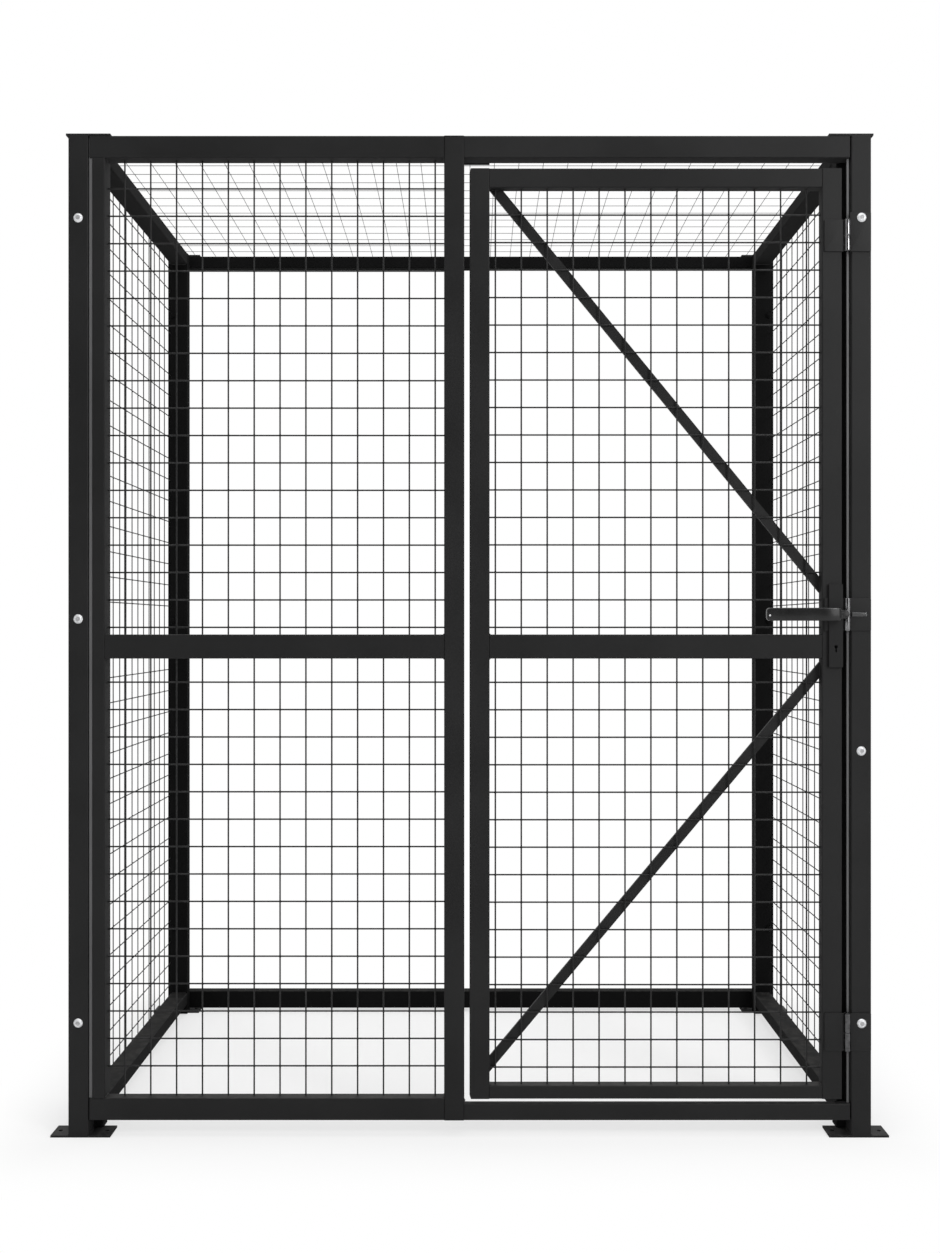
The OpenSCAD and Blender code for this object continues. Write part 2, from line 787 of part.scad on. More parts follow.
door_rail(door_win_top, door_top_h);  // door_top_rail
door_rail(mid_low, mid_rail_h);  // door_mid_rail
door_rail(door_low, door_bottom_h);  // door_bottom_rail
door_brace_upper();
door_brace_lower();
door_mesh(mid_high, door_win_top);  // door_mesh_upper
door_mesh(door_win_low, mid_low);  // door_mesh_lower
hinge_door_leaves();
lock_plate();
lock_case();
lever_handle();
lever_spindle();
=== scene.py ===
"""Looks of a free-standing wire mesh partition with a braced, hinged door.

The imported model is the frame. Every place comes from its nodes' boxes, sizes here are in
millimetres, and finished pieces are in metres.
"""

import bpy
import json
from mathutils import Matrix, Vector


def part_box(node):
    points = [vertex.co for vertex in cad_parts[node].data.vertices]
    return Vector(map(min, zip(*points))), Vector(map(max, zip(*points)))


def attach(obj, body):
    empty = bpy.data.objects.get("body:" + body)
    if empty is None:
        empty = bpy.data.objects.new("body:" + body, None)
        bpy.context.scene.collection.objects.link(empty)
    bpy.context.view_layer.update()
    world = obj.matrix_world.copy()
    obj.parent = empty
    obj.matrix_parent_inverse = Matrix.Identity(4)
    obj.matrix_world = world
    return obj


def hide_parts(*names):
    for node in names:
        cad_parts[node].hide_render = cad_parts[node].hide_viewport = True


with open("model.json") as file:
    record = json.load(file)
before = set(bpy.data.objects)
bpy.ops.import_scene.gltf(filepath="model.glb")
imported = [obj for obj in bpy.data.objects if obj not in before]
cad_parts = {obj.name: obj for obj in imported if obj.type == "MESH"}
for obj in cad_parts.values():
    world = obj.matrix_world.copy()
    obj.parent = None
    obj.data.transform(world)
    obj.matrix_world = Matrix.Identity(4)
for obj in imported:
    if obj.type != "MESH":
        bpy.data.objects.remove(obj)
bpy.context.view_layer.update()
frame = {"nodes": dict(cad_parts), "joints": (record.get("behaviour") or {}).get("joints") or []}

import json
import logging
import math
from dataclasses import dataclass
from enum import Enum

import bmesh
import bpy
from mathutils import Matrix, Vector

LOG = logging.getLogger("partition")
MM = 0.001
Colour = tuple[float, float, float, float]
Point = tuple[float, float, float] | Vector
Pair = tuple[float, float]
Profile = list[Pair]
Part = bmesh.types.BMesh
UP = Vector((0, 0, 1))
FRONT = Vector((0, -1, 0))


def grey(level: float, blue: float = 1.02) -> Colour:
    """Gives a grey from its red and its share of blue, a little cool by default."""
    return (level, level, blue * level, 1.0)


class Body(Enum):
    """Bodies of the model that pieces ride on."""

    CAGE = "cage"
    DOOR = "door"
    LEVER = "lever"


class Slot(Enum):
    """Material slots of the record."""

    FRAME = "frame_black"
    WIRE = "wire_black"
    ZINC = "zinc"
    HANDLE = "handle_black"


@dataclass(frozen=True)
class Box:
    """Box of a CAD node, in millimetres.

    Attributes:
        low: Lowest corner.
        high: Highest corner.
    """

    low: Vector
    high: Vector

    @classmethod
    def of(cls, node: str) -> "Box":
        """Reads the box of a CAD node at rest."""
        low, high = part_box(node)
        return cls(low / MM, high / MM)

    @property
    def middle(self) -> Vector:
        """Middle of the box."""
        return (self.low + self.high) / 2

    def line(self, axis: int, through: Point, inset: float = 0.0) -> tuple[Vector, Vector]:
        """Ends of a line through a point, along an axis, an inset short of the box's sides."""
        ends = (self.low[axis] + inset, self.high[axis] - inset)
        return tuple(Vector((*through[:axis], end, *through[axis + 1:])) for end in ends)


# ---- shader tools


class Wire:
    """A node's output that takes part in arithmetic."""

    def __init__(self, bench: "ShaderBench", socket: bpy.types.NodeSocket) -> None:
        """Wraps one output of a bench's tree."""
        self.bench = bench
        self.socket = socket

    def _math(self, operation: str, first: "Wire | float", second: "Wire | float" = 0.0) -> "Wire":
        """Adds a Math node and gives its result."""
        return self.bench.add("ShaderNodeMath", {0: first, 1: second}, operation=operation)

    def __add__(self, other: "Wire | float") -> "Wire":
        """Sum."""
        return self._math("ADD", self, other)

    __radd__ = __add__

    def __sub__(self, other: "Wire | float") -> "Wire":
        """Difference."""
        return self._math("SUBTRACT", self, other)

    def __rsub__(self, other: "Wire | float") -> "Wire":
        """Difference with the value on the right."""
        return self._math("SUBTRACT", other, self)

    def __mul__(self, other: "Wire | float") -> "Wire":
        """Product."""
        return self._math("MULTIPLY", self, other)

    __rmul__ = __mul__

    def root(self) -> "Wire":
        """Square root."""
        return self._math("SQRT", self)

    def low_cut(self, least: float) -> "Wire":
        """The larger of this value and a least one."""
        return self._math("MAXIMUM", self, least)

    def ease(self, start: float, end: float) -> "Wire":
        """Smooth step from 0 at start to 1 at end."""
        values = {"Value": self, "From Min": start, "From Max": end}
        return self.bench.add("ShaderNodeMapRange", values, interpolation_type="SMOOTHSTEP")

    def band(self, dark: float, lit: float, fade: float, out: float) -> "Wire":
        """Smooth band that is 1 from lit to fade, and 0 before dark and after out."""
        return self.ease(dark, lit) * (1 - self.ease(fade, out))

    def swing(self, middle: float, width: float) -> "Wire":
        """Noise as a value that swings about a middle, over a width."""
        return middle + (self - 0.5) * width


class ShaderBench:
    """A node tree under construction."""

    def __init__(self, tree: bpy.types.NodeTree) -> None:
        """Clears the tree of a material or of the world for work."""
        self.tree = tree
        tree.nodes.clear()

    def add(
        self, kind: str, inputs: dict | None = None, output: str | int = 0, **settings: str
    ) -> Wire:
        """Adds one node.

        Args:
            kind: Type of the node.
            inputs: Values or wires by the input's name or number.
            output: Name or number of the output that is wanted.
            **settings: Its properties, set first.

        Returns:
            That output.
        """
        node = self.tree.nodes.new(kind)
        for name, value in settings.items():
            setattr(node, name, value)
        for name, value in (inputs or {}).items():
            if isinstance(value, Wire):
                self.tree.links.new(value.socket, node.inputs[name])
            else:
                node.inputs[name].default_value = value
        return Wire(self, node.outputs[output] if len(node.outputs) else None)

    def blend(self, factor: Wire | float, first: Colour | Wire, second: Colour | Wire) -> Wire:
        """Mixes two colours: the first at factor 0, the second at 1."""
        return self.add("ShaderNodeMix", {0: factor, 6: first, 7: second}, 2, data_type="RGBA")

    def place(self) -> Wire:
        """Place on the piece, in metres."""
        return self.add("ShaderNodeTexCoord", output="Object")

    def noise(self, scale: float, detail: float = 3.0, rough: float = 0.5) -> Wire:
        """Noise round 0.5 on the piece; its scale is in features to the metre."""
        values = {"Vector": self.place(), "Scale": scale, "Detail": detail, "Roughness": rough}
        return self.add("ShaderNodeTexNoise", values)

    def split(self, vector: Wire) -> tuple[Wire, Wire, Wire]:
        """Splits a vector into its X, Y and Z."""
        outputs = self.add("ShaderNodeSeparateXYZ", {0: vector}).socket.node.outputs
        return tuple(Wire(self, outputs[axis]) for axis in range(3))

    def principled(self, inputs: dict[str, Wire | float | Colour]) -> Wire:
        """Adds the shader that every solid finish uses."""
        return self.add("ShaderNodeBsdfPrincipled", inputs)

    def bump(self, height: Wire, distance: float, strength: float) -> Wire:
        """Turns a height into a normal. The distance is that of height 1, in metres."""
        values = {"Height": height, "Distance": distance, "Strength": strength}
        return self.add("ShaderNodeBump", values)


# ---- finishes


@dataclass(frozen=True)
class Finish:
    """A finish that makes its own material.

    Attributes:
        name: Name of the material.
        slot: Slot of the record.
    """

    name: str
    slot: Slot

    def material(self) -> bpy.types.Material:
        """Gives the material, made once.

        Returns:
            The material.
        """
        found = bpy.data.materials.get(self.name)
        if found:
            return found
        made = bpy.data.materials.new(self.name)
        made.use_nodes = True
        bench = ShaderBench(made.node_tree)
        surface = self.surface(bench)
        bench.add("ShaderNodeOutputMaterial", {"Surface": surface})
        return made

    def surface(self, bench: ShaderBench) -> Wire:
        """Builds the shader.

        Args:
            bench: Bench of the material.

        Returns:
            The shader's output.
        """
        raise NotImplementedError


@dataclass(frozen=True)
class PowderCoat(Finish):
    """Black powder coat on steel tube: orange peel, soft clouds and a little dust.

    The coat is drier, and so rougher, on the sides and undersides of the tubes.

    Attributes:
        dark: Colour of the darker clouds.
        light: Colour of the lighter clouds.
        rough: Mean roughness.
        specular: Level of the clear reflection.
        peel: Features of the orange peel in a metre.
        peel_height: Height of the peel, in metres.
        dust: Share of dust on level faces.
        dry: How much rougher the sides and undersides are.
    """

    dark: Colour = grey(0.0078)
    light: Colour = grey(0.0124)
    rough: float = 0.56
    specular: float = 0.28
    peel: float = 620.0
    peel_height: float = 0.00012
    dust: float = 0.10
    dry: float = 0.26

    def surface(self, bench: ShaderBench) -> Wire:
        """See base class."""
        cloud = bench.noise(5.0, 4.0)
        peel = bench.noise(self.peel, 2.0, 0.4)
        speck = bench.noise(2400.0, 1.0)
        normal = bench.add("ShaderNodeNewGeometry", output="Normal")
        across, _, up = bench.split(normal)
        turned = (across * across).ease(0.5, 0.9) + (0 - up).ease(0.5, 0.9)
        settled = up.ease(0.5, 0.95) * bench.noise(60.0, 4.0).ease(0.35, 0.75) * self.dust
        coat = bench.blend(cloud.ease(0.3, 0.7), self.dark, self.light)
        grime = (0.23, 0.22, 0.205, 1.0)
        colour = bench.blend(settled, coat, grime)
        rough = cloud.swing(self.rough, 0.16) + speck.swing(0, 0.06) + settled * 0.6
        rough = rough + turned * self.dry
        return bench.principled({
            "Base Color": colour,
            "Roughness": rough,
            "Specular IOR Level": self.specular,
            "Normal": bench.bump(peel, self.peel_height, 0.5),
        })


@dataclass(frozen=True)
class WireCoat(Finish):
    """Thin black coat on drawn wire, thicker in drops along its length.

    Attributes:
        colour: Colour of the coat.
        worn: Colour where the coat is thin.
    """

    colour: Colour = grey(0.009)
    worn: Colour = grey(0.018)

    def surface(self, bench: ShaderBench) -> Wire:
        """See base class."""
        run = bench.noise(90.0, 3.0)
        drops = bench.noise(700.0, 2.0)
        return bench.principled({
            "Base Color": bench.blend(run.ease(0.35, 0.75), self.colour, self.worn),
            "Roughness": drops.swing(0.5, 0.2),
            "Specular IOR Level": 0.3,
            "Normal": bench.bump(drops, 0.0002, 0.4),
        })


@dataclass(frozen=True)
class ZincPlate(Finish):
    """Bright zinc plate with a fine turned grain.

    Attributes:
        bright: Colour of clean zinc.
        dull: Colour of its greyer clouds.
        rough: Mean roughness.
        metal: Share of clear metal; the rest is the cloudy bloom.
    """

    bright: Colour = (0.90, 0.91, 0.92, 1)
    dull: Colour = (0.74, 0.75, 0.77, 1)
    rough: float = 0.36
    metal: float = 0.42

    def surface(self, bench: ShaderBench) -> Wire:
        """See base class."""
        cloud = bench.noise(160.0, 4.0)
        grain = bench.noise(3000.0, 2.0, 0.6)
        return bench.principled({
            "Base Color": bench.blend(cloud.ease(0.35, 0.7), self.bright, self.dull),
            "Metallic": self.metal,
            "Roughness": cloud.swing(self.rough, 0.14) + grain.swing(0, 0.08),
            "Normal": bench.bump(grain, 0.00004, 0.5),
        })


@dataclass(frozen=True)
class BarrelSteel(Finish):
    """Oiled dark steel of the hinge barrels, with rings from the lathe.

    Attributes:
        steel: Colour of the steel.
        oil: Colour of its darker patches.
        lathe: Spacing of the rings, in radians to the metre.
    """

    steel: Colour = grey(0.32)
    oil: Colour = grey(0.22)
    lathe: float = 9000.0

    def surface(self, bench: ShaderBench) -> Wire:
        """See base class."""
        patch = bench.noise(120.0, 3.0)
        _, _, height = bench.split(bench.place())
        rings = bench.add("ShaderNodeMath", {0: height * self.lathe}, operation="SINE")
        return bench.principled({
            "Base Color": bench.blend(patch.ease(0.35, 0.7), self.steel, self.oil),
            "Metallic": 1.0,
            "Roughness": patch.swing(0.17, 0.08),
            "Normal": bench.bump(rings, 0.00001, 0.3),
        })


@dataclass(frozen=True)
class HandleEnamel(Finish):
    """Smooth black enamel of the lever and the keeper, half gloss.

    Attributes:
        colour: Colour of the enamel.
        handled: Colour where hands have polished it.
    """

    colour: Colour = grey(0.006)
    handled: Colour = grey(0.011)

    def surface(self, bench: ShaderBench) -> Wire:
        """See base class."""
        cloud = bench.noise(28.0, 3.0)
        fine = bench.noise(1400.0, 2.0)
        return bench.principled({
            "Base Color": bench.blend(cloud.ease(0.35, 0.7), self.colour, self.handled),
            "Roughness": cloud.swing(0.24, 0.12) + fine.swing(0, 0.05),
            "Specular IOR Level": 0.45,
            "Coat Weight": 0.1,
            "Coat Roughness": 0.12,
            "Normal": bench.bump(fine, 0.00004, 0.4),
        })


@dataclass(frozen=True)
class PlugPlastic(Finish):
    """Black moulded plastic of the tube plugs, with a fine spark-eroded grain."""

    def surface(self, bench: ShaderBench) -> Wire:
        """See base class."""
        grain = bench.noise(1800.0, 3.0, 0.6)
        return bench.principled({
            "Base Color": bench.blend(grain, grey(0.01, 1.0), grey(0.018, 1.0)),
            "Roughness": grain.swing(0.55, 0.2),
            "Specular IOR Level": 0.4,
            "Normal": bench.bump(grain, 0.00008, 0.6),
        })


@dataclass(frozen=True)
class Finishes:
    """All the finishes of the partition."""

    frame: Finish = PowderCoat("Coat_Frame", Slot.FRAME)
    # Darker copy of the frame's coat on the side frames and the head pad: painted shade of the
    # cage's inside.
    inner: Finish = PowderCoat(
        "Coat_Inner_Painted_Shade", Slot.FRAME, grey(0.0048), grey(0.0076), rough=0.66, specular=0.14
    )
    # Still darker copy of the frame's coat at the rear: painted shade of the far side of the cage.
    rear: Finish = PowderCoat(
        "Coat_Rear_Painted_Shade", Slot.FRAME, grey(0.003), grey(0.0048), rough=0.7, specular=0.08, dust=0.06
    )
    # Pale coat of the strips beside the front posts: painted light, standing in for lit edges in
    # the gaps.
    strip: Finish = PowderCoat(
        "Coat_Painted_Light", Slot.FRAME, grey(0.095), grey(0.125), rough=0.45, specular=0.4, dust=0.05
    )
    weld: Finish = PowderCoat("Coat_Weld", Slot.FRAME, rough=0.5, peel=420.0, peel_height=0.0002)
    wire: Finish = WireCoat("Coat_Wire", Slot.WIRE)
    # Light grey copy of the black wire coat for the roof: painted light, standing in for glare
    # round the thin wires.
    roof_wire_painted_light: Finish = WireCoat("Coat_Roof_Wire_Painted_Light", Slot.WIRE, grey(0.12), grey(0.16))
    zinc: Finish = ZincPlate("Zinc_Plate", Slot.ZINC)
    # Duller, darker zinc for the ring and boss in each bolt head's dish: painted shade of the
    # hollow.
    mark: Finish = ZincPlate("Zinc_Mark_Painted_Shade", Slot.ZINC, grey(0.62), grey(0.42), rough=0.5)
    barrel: Finish = BarrelSteel("Steel_Barrel", Slot.FRAME)
    # Darker copy of the barrel steel for the lowest hinge: painted shade that dims its reflection
    # of the floor.
    shaded_low_barrel: Finish = BarrelSteel("Steel_Low_Barrel_Painted_Shade", Slot.FRAME, grey(0.13), grey(0.08))
    # Dark steel for the pin heads and the lock case; the case's darkness in the keyhole is painted
    # shade.
    dark_steel_and_shade: Finish = BarrelSteel("Steel_Dark_And_Painted_Shade", Slot.ZINC, grey(0.08), grey(0.04))
    handle: Finish = HandleEnamel("Enamel_Handle", Slot.HANDLE)
    plate: Finish = PowderCoat(
        "Coat_Plate", Slot.HANDLE, grey(0.0065), grey(0.0105), peel=900.0,
        peel_height=0.00006, dust=0.04,
    )
    # Lighter copy of the handle enamel for the keeper: painted light, so the rod reads as lit.
    keeper: Finish = HandleEnamel("Enamel_Keeper_Painted_Light", Slot.HANDLE, grey(0.03), grey(0.048))
    plug: Finish = PlugPlastic("Plastic_Plug", Slot.FRAME)


# ---- mesh tools


class Blank:
    """A workpiece in millimetres that becomes one finished piece."""

    def __init__(self) -> None:
        """Starts an empty workpiece."""
        self.bm = bmesh.new()

    def absorb(self, part: Part) -> None:
        """Adds a part to the workpiece and frees it.

        Args:
            part: The part.
        """
        mesh = bpy.data.meshes.new("part")
        part.to_mesh(mesh)
        part.free()
        self.bm.from_mesh(mesh)
        bpy.data.meshes.remove(mesh)

    def settle(self, part: Part, way: Point, place: Point) -> None:
        """Turns a part that points up, moves it and adds it.

        Args:
            part: The part.
            way: Direction that its Z axis gets.
            place: Where its origin goes.
        """
        turn = UP.rotation_difference(Vector(way)).to_matrix()
        bmesh.ops.rotate(part, cent=(0, 0, 0), matrix=turn, verts=part.verts)
        bmesh.ops.translate(part, vec=place, verts=part.verts)
        self.absorb(part)

    @staticmethod
    def cube(low: Point, high: Point) -> Part:
        """Starts a part as a plain box.

        Args:
            low: Lowest corner.
            high: Highest corner.

        Returns:
            The part, not yet in the workpiece.
        """
        low, high = Vector(low), Vector(high)
        part = bmesh.new()
        bmesh.ops.create_cube(part, size=1.0)
        bmesh.ops.scale(part, vec=high - low, verts=part.verts)
        bmesh.ops.translate(part, vec=(low + high) / 2, verts=part.verts)
        return part

    @staticmethod
    def runs_back(edge: bmesh.types.BMEdge) -> bool:
        """Tells whether an edge runs along Y."""
        return abs(edge.verts[0].co.y - edge.verts[1].co.y) > 1

    @staticmethod
    def folds(part: Part, least: float = 50.0) -> list[bmesh.types.BMEdge]:
        """Finds the edges where a part turns by more than an angle in degrees."""
        return [e for e in part.edges if e.calc_face_angle(0) > math.radians(least)]

    @staticmethod
    def round_edges(
        part: Part, edges: list[bmesh.types.BMEdge], radius: float, segments: int
    ) -> None:
        """Rounds some edges of a part."""
        bmesh.ops.bevel(
            part, geom=edges, offset=radius, offset_type="OFFSET", segments=segments,
            profile=0.5, affect="EDGES", material=-1, clamp_overlap=True,
        )

    def block(self, low: Point, high: Point, rim: float = 0.0, corner: float = 0.0) -> None:
        """Adds a plate or block with round corners and rims.

        Args:
            low: Lowest corner.
            high: Highest corner.
            rim: Radius of every edge.
            corner: Radius of the four corners, seen from the front.
        """
        part = self.cube(low, high)
        if corner:
            self.round_edges(part, [e for e in part.edges if self.runs_back(e)], corner, segments=6)
        if rim:
            self.round_edges(part, self.folds(part), rim, segments=3)
        self.absorb(part)

    def rod(
        self, start: Point, end: Point, radius: float, rim: float = 0.0, sides: int = 48
    ) -> None:
        """Adds a round rod.

        Args:
            start: Middle of one end.
            end: Middle of the other end.
            radius: Its radius.
            rim: Radius of the rims.
            sides: Faces round it.
        """
        start, end = Vector(start), Vector(end)
        run = end - start
        part = bmesh.new()
        bmesh.ops.create_cone(
            part, cap_ends=True, segments=sides, radius1=radius, radius2=radius, depth=run.length
        )
        if rim:
            self.round_edges(part, self.folds(part), rim, segments=4)
        self.settle(part, run, (start + end) / 2)

    def turned(self, profile: Profile, base: Point, axis: Point, steps: int = 48) -> None:
        """Adds a turned part.

        Args:
            profile: Radius and height of each point, from one end on the axis to the other.
            base: Place of height 0.
            axis: Direction of the axis.
            steps: Faces round it.
        """
        part = bmesh.new()
        verts = [part.verts.new((r, 0.0, h)) for r, h in profile]
        edges = [part.edges.new(pair) for pair in zip(verts, verts[1:])]
        bmesh.ops.spin(
            part, geom=verts + edges, cent=(0, 0, 0), axis=(0, 0, 1), dvec=(0, 0, 0),
            angle=2 * math.pi, steps=steps, use_merge=True,
        )
        bmesh.ops.remove_doubles(part, verts=part.verts, dist=1e-5)
        bmesh.ops.recalc_face_normals(part, faces=part.faces)
        self.settle(part, axis, base)

    @staticmethod
    def push(
        part: Part, face: bmesh.types.BMFace, way: Point
    ) -> tuple[bmesh.types.BMFace, list[bmesh.types.BMVert]]:
        """Pushes a face out of a part.

        Args:
            part: The part.
            face: The face.
            way: How far and where to.

        Returns:
            The new face and its corners.
        """
        made = bmesh.ops.extrude_face_region(part, geom=[face])["geom"]
        verts = [g for g in made if isinstance(g, bmesh.types.BMVert)]
        bmesh.ops.translate(part, vec=way, verts=verts)
        return next(g for g in made if isinstance(g, bmesh.types.BMFace)), verts

    def bead(self, start: Point, end: Point) -> None:
        """Adds a weld bead with its ripples.

        Args:
            start: Start of the bead.
            end: End of the bead.
        """
        start, run = Vector(start), Vector(end) - Vector(start)
        radius, ripple, thin, swollen, taper = 2.4, 2.2, 0.75, 1.22, 0.8
        count = max(3, round(run.length / ripple))
        pitch = run.length / count
        part = bmesh.new()
        ring = bmesh.ops.create_circle(part, cap_ends=True, segments=8, radius=radius * thin)
        face = ring["verts"][0].link_faces[0]
        for step in range(count):
            last = face
            face, verts = self.push(part, last, (0, 0, pitch))
            if step:
                bmesh.ops.delete(part, geom=[last], context="FACES_ONLY")
            swell = swollen if step % 2 == 0 else 1 / swollen
            if step == count - 1:
                swell = taper
            centre = Matrix.Translation((0, 0, -(step + 1) * pitch))
            bmesh.ops.scale(part, vec=(swell, swell, 1), space=centre, verts=verts)
        bmesh.ops.recalc_face_normals(part, faces=part.faces)
        self.settle(part, run, start)

    def outline(self, corners: Profile, depth: float) -> Part:
        """Starts a part from a face in the XZ plane, pushed back along Y.

        Args:
            corners: X and Z of each corner, anticlockwise from the front.
            depth: Thickness of the part.

        Returns:
            The part, not yet in the workpiece.
        """
        part = bmesh.new()
        face = part.faces.new([part.verts.new((x, 0.0, z)) for x, z in corners])
        self.push(part, face, (0, depth, 0))
        bmesh.ops.recalc_face_normals(part, faces=part.faces)
        return part

    def piece(
        self, name: str, body: Body, finish: Finish, replaces: tuple[str, ...] = (),
        sharp: float = 38.0,
    ) -> None:
        """Finishes the workpiece.

        Args:
            name: Name of the piece.
            body: Body that it rides on.
            finish: Its finish.
            replaces: CAD nodes that it stands for.
            sharp: Angle from which an edge stays sharp.
        """
        for face in self.bm.faces:
            face.smooth = True
        for edge in self.bm.edges:
            edge.smooth = edge.calc_face_angle(0) < math.radians(sharp)
        bmesh.ops.scale(self.bm, vec=(MM, MM, MM), verts=self.bm.verts)
        mesh = bpy.data.meshes.new(name)
        self.bm.to_mesh(mesh)
        self.bm.free()
        mesh.materials.append(finish.material())
        made = join_scene(name, mesh)
        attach(made, body.value)
        if replaces:
            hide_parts(*replaces)
        LOG.info("%s: %d faces on %s", name, len(mesh.polygons), body.value)


def join_scene(name: str, data: bpy.types.ID) -> bpy.types.Object:
    """Adds an object to the scene.

    Args:
        name: Name of the object.
        data: Its mesh, light or camera.

    Returns:
        The object.
    """
    made = bpy.data.objects.new(name, data)
    bpy.context.scene.collection.objects.link(made)
    return made


def dress(nodes: list[str], finish: Finish) -> None:
    """Gives CAD nodes a finish.

    Args:
        nodes: Names of the nodes.
        finish: The finish.
    """
    for name in nodes:
        node = frame["nodes"][name]
        if not node.material_slots:
            node.data.materials.append(finish.material())
        for slot in node.material_slots:
            slot.material = finish.material()
        LOG.info("%s wears %s", name, finish.name)


# ---- sub-assemblies


@dataclass
class SubPart:
    """A sub-assembly of the partition, with sizes in millimetres.

    Attributes:
        finishes: The finishes.
    """

    finishes: Finishes


@dataclass
class TubeWork(SubPart):
    """Frame of square tube.

    Attributes:
        wall: Wall of a tube and the play round a plug.
        plug_ends: How far a plug's foot and its top are below the tube's end.
        inset: How far a weld stops short of an edge.
    """

    wall: float = 2.4
    plug_ends: Pair = (6.0, 0.9)
    inset: float = 3.0

    def plug_tops(self, name: str, body: Body, cuts: dict[str, float]) -> None:
        """Closes the upper ends of some tubes with plugs that have a low crown.

        Args:
            name: Name of the piece.
            body: Body that it rides on.
            cuts: What each plug lacks on its left, by the name of the tube's CAD node.
        """
        blank, (foot, top) = Blank(), self.plug_ends
        margin, crown = 4.0, 0.8
        for node, cut in cuts.items():
            tube = Box.of(node)
            part = blank.cube(
                (tube.low.x + self.wall + cut, tube.low.y + self.wall, tube.high.z - foot),
                (tube.high.x - self.wall, tube.high.y - self.wall, tube.high.z - top),
            )
            upper = max(part.faces, key=lambda f: f.calc_center_median().z)
            bmesh.ops.inset_individual(part, faces=[upper], thickness=margin, depth=crown)
            blank.round_edges(part, blank.folds(part), crown, segments=3)
            blank.absorb(part)
        blank.piece(name, body, self.finishes.plug)


@dataclass
class CageFrame(TubeWork):
    """Posts, feet, caps, front frame and side frames with their welds and plugs.

    Attributes:
        corners: Endings of the posts' names.
        reach: How far back the welds of the front frame may run.
        left_painted_light_strip: Sides of the left strip of painted light from its post, its face
            behind the post's, and how far it runs up behind the header.
        right_painted_light_strip: Sides of the right strip of painted light from its post, its
            face and back behind the post's.
    """

    corners: tuple[str, ...] = ("front_left", "front_right", "rear_left", "rear_right")
    reach: float = 27.0
    left_painted_light_strip: tuple[float, float, float, float] = (0.5, 7.6, 3.0, 40.0)
    right_painted_light_strip: tuple[float, float, float, float] = (2.8, 7.4, 6.0, 8.5)

    def dress(self) -> None:
        """Gives the tubes their coats; the inner and rear ones are darker copies of the frame's,
        painted shade.
        """
        front = [f"{part}_{corner}" for part in ("foot", "cap") for corner in self.corners]
        front += ["post_front_left", "post_front_right", "header_left", "header_right", "mullion"]
        front += ["fixed_stile", "fixed_mid_rail", "fixed_bottom_rail", "threshold"]
        rear = ["post_rear_left", "post_rear_right", "rear_top_rail", "rear_bottom_rail"]
        inner = ["head_pad"]
        for hand in ("left", "right"):
            rear.append(f"side_{hand}_rear_stile")
            inner += [f"side_{hand}_{part}" for part in ("front_stile", "top_rail", "bottom_rail")]
        dress(front, self.finishes.frame)
        dress(inner, self.finishes.inner)
        dress(rear, self.finishes.rear)

    def painted_light_strips(self) -> None:
        """Stands a thin pale strip in the gap beside each front post; its pale grey is painted
        light.
        """
        blank = Blank()
        x, y = Box.of("post_front_left").high.x, Box.of("post_front_left").low.y
        back, top = Box.of("side_left_front_stile").low.y - 0.02, Box.of("header_left").low.z
        start, end, face, up = self.left_painted_light_strip
        foot = Box.of("fixed_bottom_rail").high.z
        # Both strips are pale sheets of painted light in the gaps.
        blank.block((x + start, y + face, foot), (x + end, back, top + up), rim=1.2)
        start, end, face, back = self.right_painted_light_strip
        x, foot = Box.of("post_front_right").low.x, Box.of("threshold").high.z
        blank.block((x - end, y + face, foot), (x - start, y + back, top), rim=0.8)
        blank.piece("painted_light_strips", Body.CAGE, self.finishes.strip)

    def foot_welds(self) -> None:
        """Welds each post to its foot plate."""
        blank = Blank()
        for corner in self.corners:
            post, z = Box.of(f"post_{corner}"), Box.of(f"foot_{corner}").high.z
            for x in (post.low.x, post.high.x):
                blank.bead(*post.line(1, (x, 0, z), self.inset))
            y = post.high.y if "front" in corner else post.low.y
            blank.bead(*post.line(0, (0, y, z), self.inset))
        blank.piece("foot_welds", Body.CAGE, self.finishes.weld)

    def front_welds(self) -> None:
        """Welds the rails of the front frame to its uprights, in the window corners."""
        blank = Blank()
        mullion = Box.of("mullion")
        window, doorway = (Box.of("fixed_stile").high.x, mullion.low.x), (mullion.high.x,)
        for name, under, over, xs in (
            ("header_left", True, False, window), ("fixed_mid_rail", True, True, window),
            ("fixed_bottom_rail", False, True, window), ("header_right", True, False, doorway),
            ("threshold", False, True, doorway),
        ):
            rail = Box.of(name)
            start = rail.low.y + self.inset
            end = min(rail.high.y, rail.low.y + self.reach) - self.inset
            for x in xs:
                for z in [rail.low.z] * under + [rail.high.z] * over:
                    blank.bead((x, start, z), (x, end, z))
        blank.piece("front_welds", Body.CAGE, self.finishes.weld)

    def side_welds(self) -> None:
        """Welds the side frames and the rear rails."""
        blank = Blank()
        for side in ("left", "right"):
            front, rear, top, bottom = (
                Box.of(f"side_{side}_{part}")
                for part in ("front_stile", "rear_stile", "top_rail", "bottom_rail")
            )
            for rail, z in ((top, top.low.z), (bottom, bottom.high.z)):
                for y in (front.high.y, rear.low.y):
                    blank.bead(*rail.line(0, (0, y, z), self.inset + 1.0))
        left, right = Box.of("post_rear_left"), Box.of("post_rear_right")
        for name in ("rear_top_rail", "rear_bottom_rail"):
            rail = Box.of(name)
            for x in (left.high.x, right.low.x):
                for y in (rail.low.y, rail.high.y):
                    blank.bead(*rail.line(2, (x, y, 0), self.inset))
        blank.piece("side_welds", Body.CAGE, self.finishes.weld)

    def build(self) -> None:
        """Builds and dresses the frame."""
        self.dress()
        self.painted_light_strips()
        self.foot_welds()
        self.front_welds()
        self.side_welds()
        ends = ("left_front", "left_rear", "right_front", "right_rear")
        stiles = [f"side_{end}_stile" for end in ends]
        self.plug_tops("frame_plugs", Body.CAGE, dict.fromkeys(stiles, 0.0))


